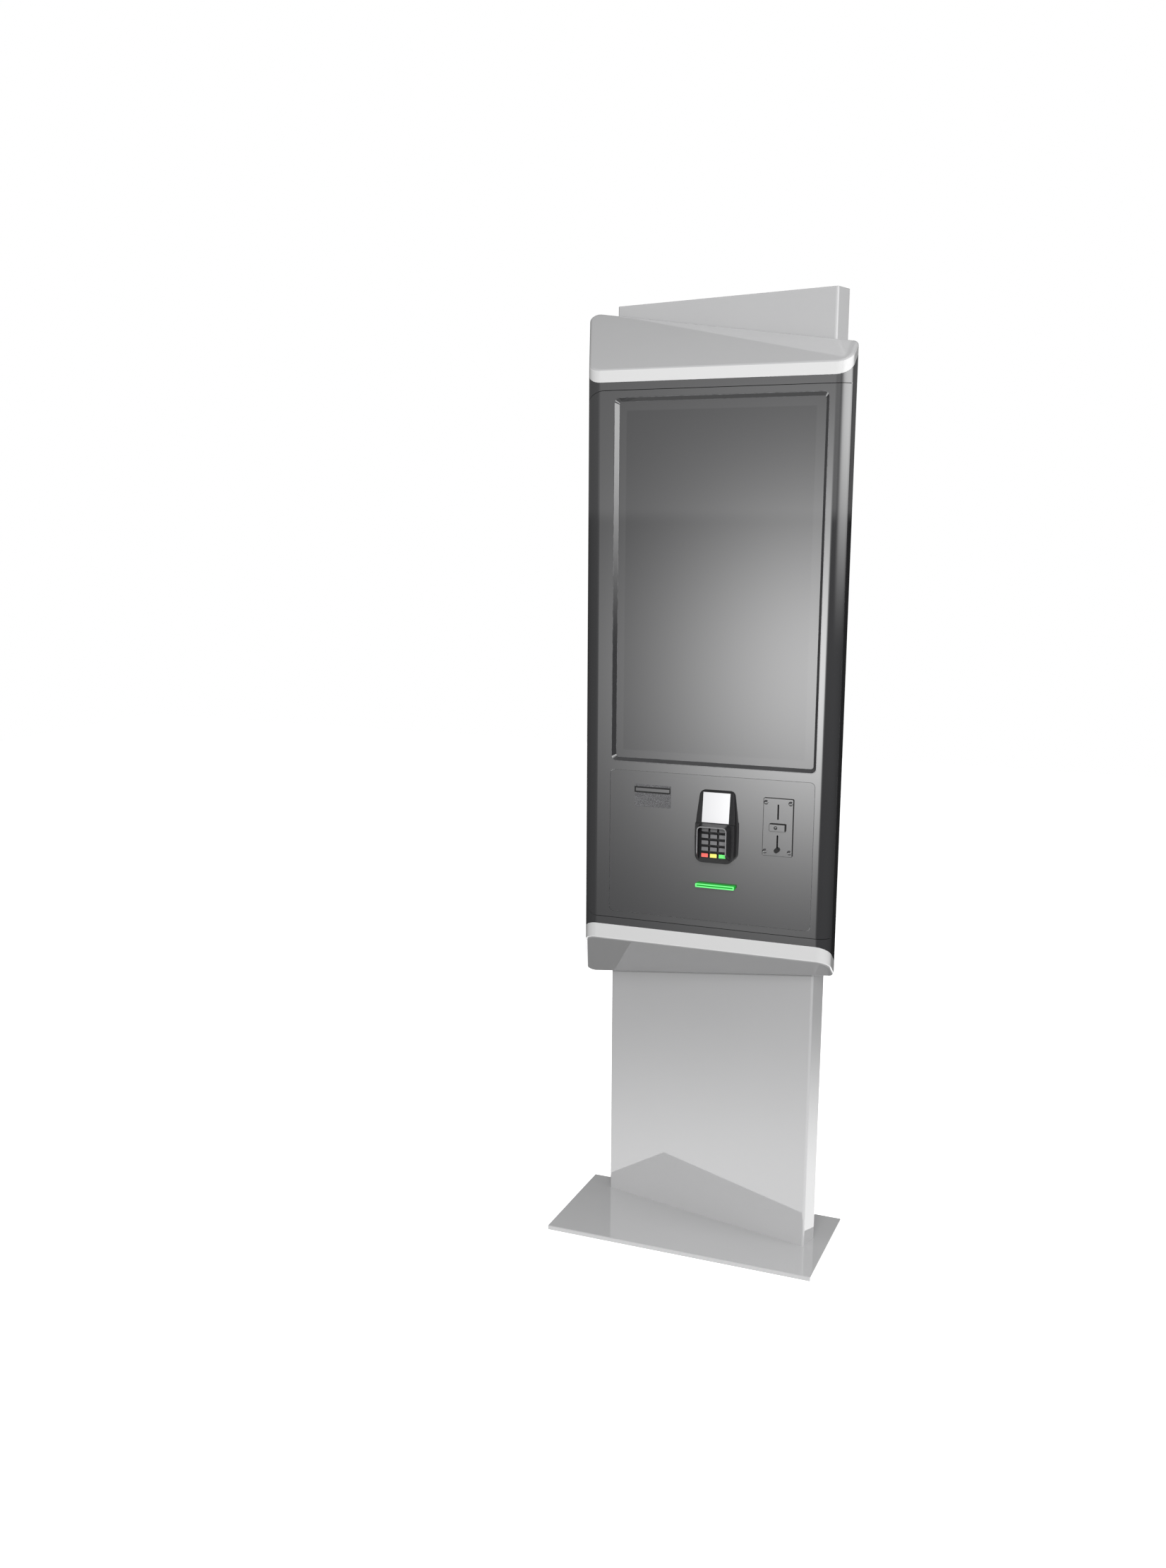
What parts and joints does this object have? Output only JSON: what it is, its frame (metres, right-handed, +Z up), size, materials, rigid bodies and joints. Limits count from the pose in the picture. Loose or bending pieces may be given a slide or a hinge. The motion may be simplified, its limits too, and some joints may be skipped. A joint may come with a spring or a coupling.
{
  "type": "self-service payment kiosk",
  "caption": "Free-standing self-service kiosk with a tall touch screen, card terminal, coin and note slots and a lit receipt slot in a hinged cabinet on a slab pillar and flat base.",
  "frame": {"origin": "centre of the base plate's underside, on the floor", "axes": "+X to the right of a person facing the screen, +Y away from that person, +Z up"},
  "size_m": [0.6174, 0.302, 2.0645],
  "materials": {
    "base_grey": "satin powder coat",
    "pillar_silver": "satin",
    "steel": "zinc plated",
    "housing_dark": "high gloss",
    "cap_light": "gloss",
    "module_black": "matte",
    "module_grey": "matte",
    "bezel_dark": "gloss",
    "screen_glass": "polished",
    "rubber_black": "matte",
    "lcd": "dark, unlit",
    "panel_dark": "high gloss",
    "coin_metal": "satin dark",
    "green_plastic": "translucent, lit",
    "paper": "paper",
    "note_shutter": "satin",
    "note_texture": "speckled texture",
    "terminal_black": "fine grain",
    "terminal_screen": "lit, pale",
    "key_grey": "satin",
    "key_red": "satin",
    "key_yellow": "satin",
    "key_green": "satin"
  },
  "bodies": {
    "stand": {"base_plate": "base_grey", "pillar": "pillar_silver", "pillar_foot": "steel", "base_screws": "steel", "pillar_top_cover": "pillar_silver", "rear_shell": "housing_dark", "top_cap": "cap_light", "bottom_cap": "cap_light", "mounting_bolts": "steel", "hinge_guides": "steel", "door_magnet": "module_black", "computer_case": "module_grey", "power_supply": "module_grey", "fan_housing": "module_black"},
    "door": {"door_shell": "housing_dark", "hinge_arms": "steel", "magnet_armature": "steel", "screen_bezel": "bezel_dark", "touch_glass": "screen_glass", "screen_gasket": "rubber_black", "lcd_panel": "lcd", "display_rails": "steel", "service_panel": "panel_dark", "service_panel_frame": "steel", "coin_plate": "coin_metal", "coin_plate_screws": "steel", "coin_acceptor": "module_black", "coin_box": "module_grey", "receipt_bezel": "green_plastic", "printer_frame": "steel", "printer_head": "module_black", "note_bezel": "module_black", "note_guide_plate": "note_texture", "note_validator": "module_black", "note_cassette": "module_grey", "terminal_mount": "steel", "terminal_case": "terminal_black", "terminal_screen": "terminal_screen", "terminal_shield": "terminal_black"},
    "fan_rotor": {"fan_rotor": "module_black"},
    "coin_button": {"coin_button": "coin_metal"},
    "coin_lever": {"coin_lever": "coin_metal"},
    "platen_roller": {"platen_roller": "rubber_black"},
    "paper_roll": {"paper_roll": "paper"},
    "note_shutter": {"note_shutter": "note_shutter"},
    "key_1": {"key_1": "key_grey"},
    "key_2": {"key_2": "key_grey"},
    "key_3": {"key_3": "key_grey"},
    "key_4": {"key_4": "key_grey"},
    "key_5": {"key_5": "key_grey"},
    "key_6": {"key_6": "key_grey"},
    "key_7": {"key_7": "key_grey"},
    "key_8": {"key_8": "key_grey"},
    "key_9": {"key_9": "key_grey"},
    "key_star": {"key_star": "key_grey"},
    "key_0": {"key_0": "key_grey"},
    "key_hash": {"key_hash": "key_grey"},
    "key_red": {"key_red": "key_red"},
    "key_yellow": {"key_yellow": "key_yellow"},
    "key_green": {"key_green": "key_green"}
  },
  "joints": [
    {"name": "door_hinge", "type": "hinge", "parent": "stand", "child": "door", "pos_m": [0.3095, -0.077, 1.3], "axis": [0, 0, 1], "range_deg": [0, 72]},
    {"name": "key_1_press", "type": "slide", "parent": "door", "child": "key_1", "axis": [0, 1, 0], "range_m": [0, 0.0012], "stiffness_N_per_m": 600},
    {"name": "key_2_press", "type": "slide", "parent": "door", "child": "key_2", "axis": [0, 1, 0], "range_m": [0, 0.0012], "stiffness_N_per_m": 600},
    {"name": "key_3_press", "type": "slide", "parent": "door", "child": "key_3", "axis": [0, 1, 0], "range_m": [0, 0.0012], "stiffness_N_per_m": 600},
    {"name": "key_4_press", "type": "slide", "parent": "door", "child": "key_4", "axis": [0, 1, 0], "range_m": [0, 0.0012], "stiffness_N_per_m": 600},
    {"name": "key_5_press", "type": "slide", "parent": "door", "child": "key_5", "axis": [0, 1, 0], "range_m": [0, 0.0012], "stiffness_N_per_m": 600},
    {"name": "key_6_press", "type": "slide", "parent": "door", "child": "key_6", "axis": [0, 1, 0], "range_m": [0, 0.0012], "stiffness_N_per_m": 600},
    {"name": "key_7_press", "type": "slide", "parent": "door", "child": "key_7", "axis": [0, 1, 0], "range_m": [0, 0.0012], "stiffness_N_per_m": 600},
    {"name": "key_8_press", "type": "slide", "parent": "door", "child": "key_8", "axis": [0, 1, 0], "range_m": [0, 0.0012], "stiffness_N_per_m": 600},
    {"name": "key_9_press", "type": "slide", "parent": "door", "child": "key_9", "axis": [0, 1, 0], "range_m": [0, 0.0012], "stiffness_N_per_m": 600},
    {"name": "key_star_press", "type": "slide", "parent": "door", "child": "key_star", "axis": [0, 1, 0], "range_m": [0, 0.0012], "stiffness_N_per_m": 600},
    {"name": "key_0_press", "type": "slide", "parent": "door", "child": "key_0", "axis": [0, 1, 0], "range_m": [0, 0.0012], "stiffness_N_per_m": 600},
    {"name": "key_hash_press", "type": "slide", "parent": "door", "child": "key_hash", "axis": [0, 1, 0], "range_m": [0, 0.0012], "stiffness_N_per_m": 600},
    {"name": "key_red_press", "type": "slide", "parent": "door", "child": "key_red", "axis": [0, 1, 0], "range_m": [0, 0.0012], "stiffness_N_per_m": 600},
    {"name": "key_yellow_press", "type": "slide", "parent": "door", "child": "key_yellow", "axis": [0, 1, 0], "range_m": [0, 0.0012], "stiffness_N_per_m": 600},
    {"name": "key_green_press", "type": "slide", "parent": "door", "child": "key_green", "axis": [0, 1, 0], "range_m": [0, 0.0012], "stiffness_N_per_m": 600},
    {"name": "coin_button_press", "type": "slide", "parent": "door", "child": "coin_button", "axis": [0, 1, 0], "range_m": [0, 0.003], "stiffness_N_per_m": 500, "springref_m": -0.0005},
    {"name": "coin_lever_lift", "type": "slide", "parent": "door", "child": "coin_lever", "axis": [0, 0, 1], "range_m": [0, 0.028], "stiffness_N_per_m": 60, "springref_m": -0.004},
    {"name": "note_shutter_turn", "type": "hinge", "parent": "door", "child": "note_shutter", "pos_m": [-0.085, -0.0986, 1.0428], "axis": [1, 0, 0], "range_deg": [0, 75], "stiffness_Nm_per_rad": 0.02, "springref_deg": -17.19},
    {"name": "paper_roll_spin", "type": "hinge", "parent": "door", "child": "paper_roll", "pos_m": [0.0616, -0.05, 0.796], "axis": [1, 0, 0], "continuous": true},
    {"name": "platen_spin", "type": "hinge", "parent": "door", "child": "platen_roller", "pos_m": [0.0616, -0.08, 0.8347], "axis": [1, 0, 0], "continuous": true},
    {"name": "fan_spin", "type": "hinge", "parent": "stand", "child": "fan_rotor", "pos_m": [-0.16456, 0.01545, 1.575], "axis": [0.2238, 0.9746, 0], "continuous": true}
  ],
  "couplings": [
    {"joint": "platen_spin", "follows": "paper_roll_spin", "ratio": 4}
  ]
}
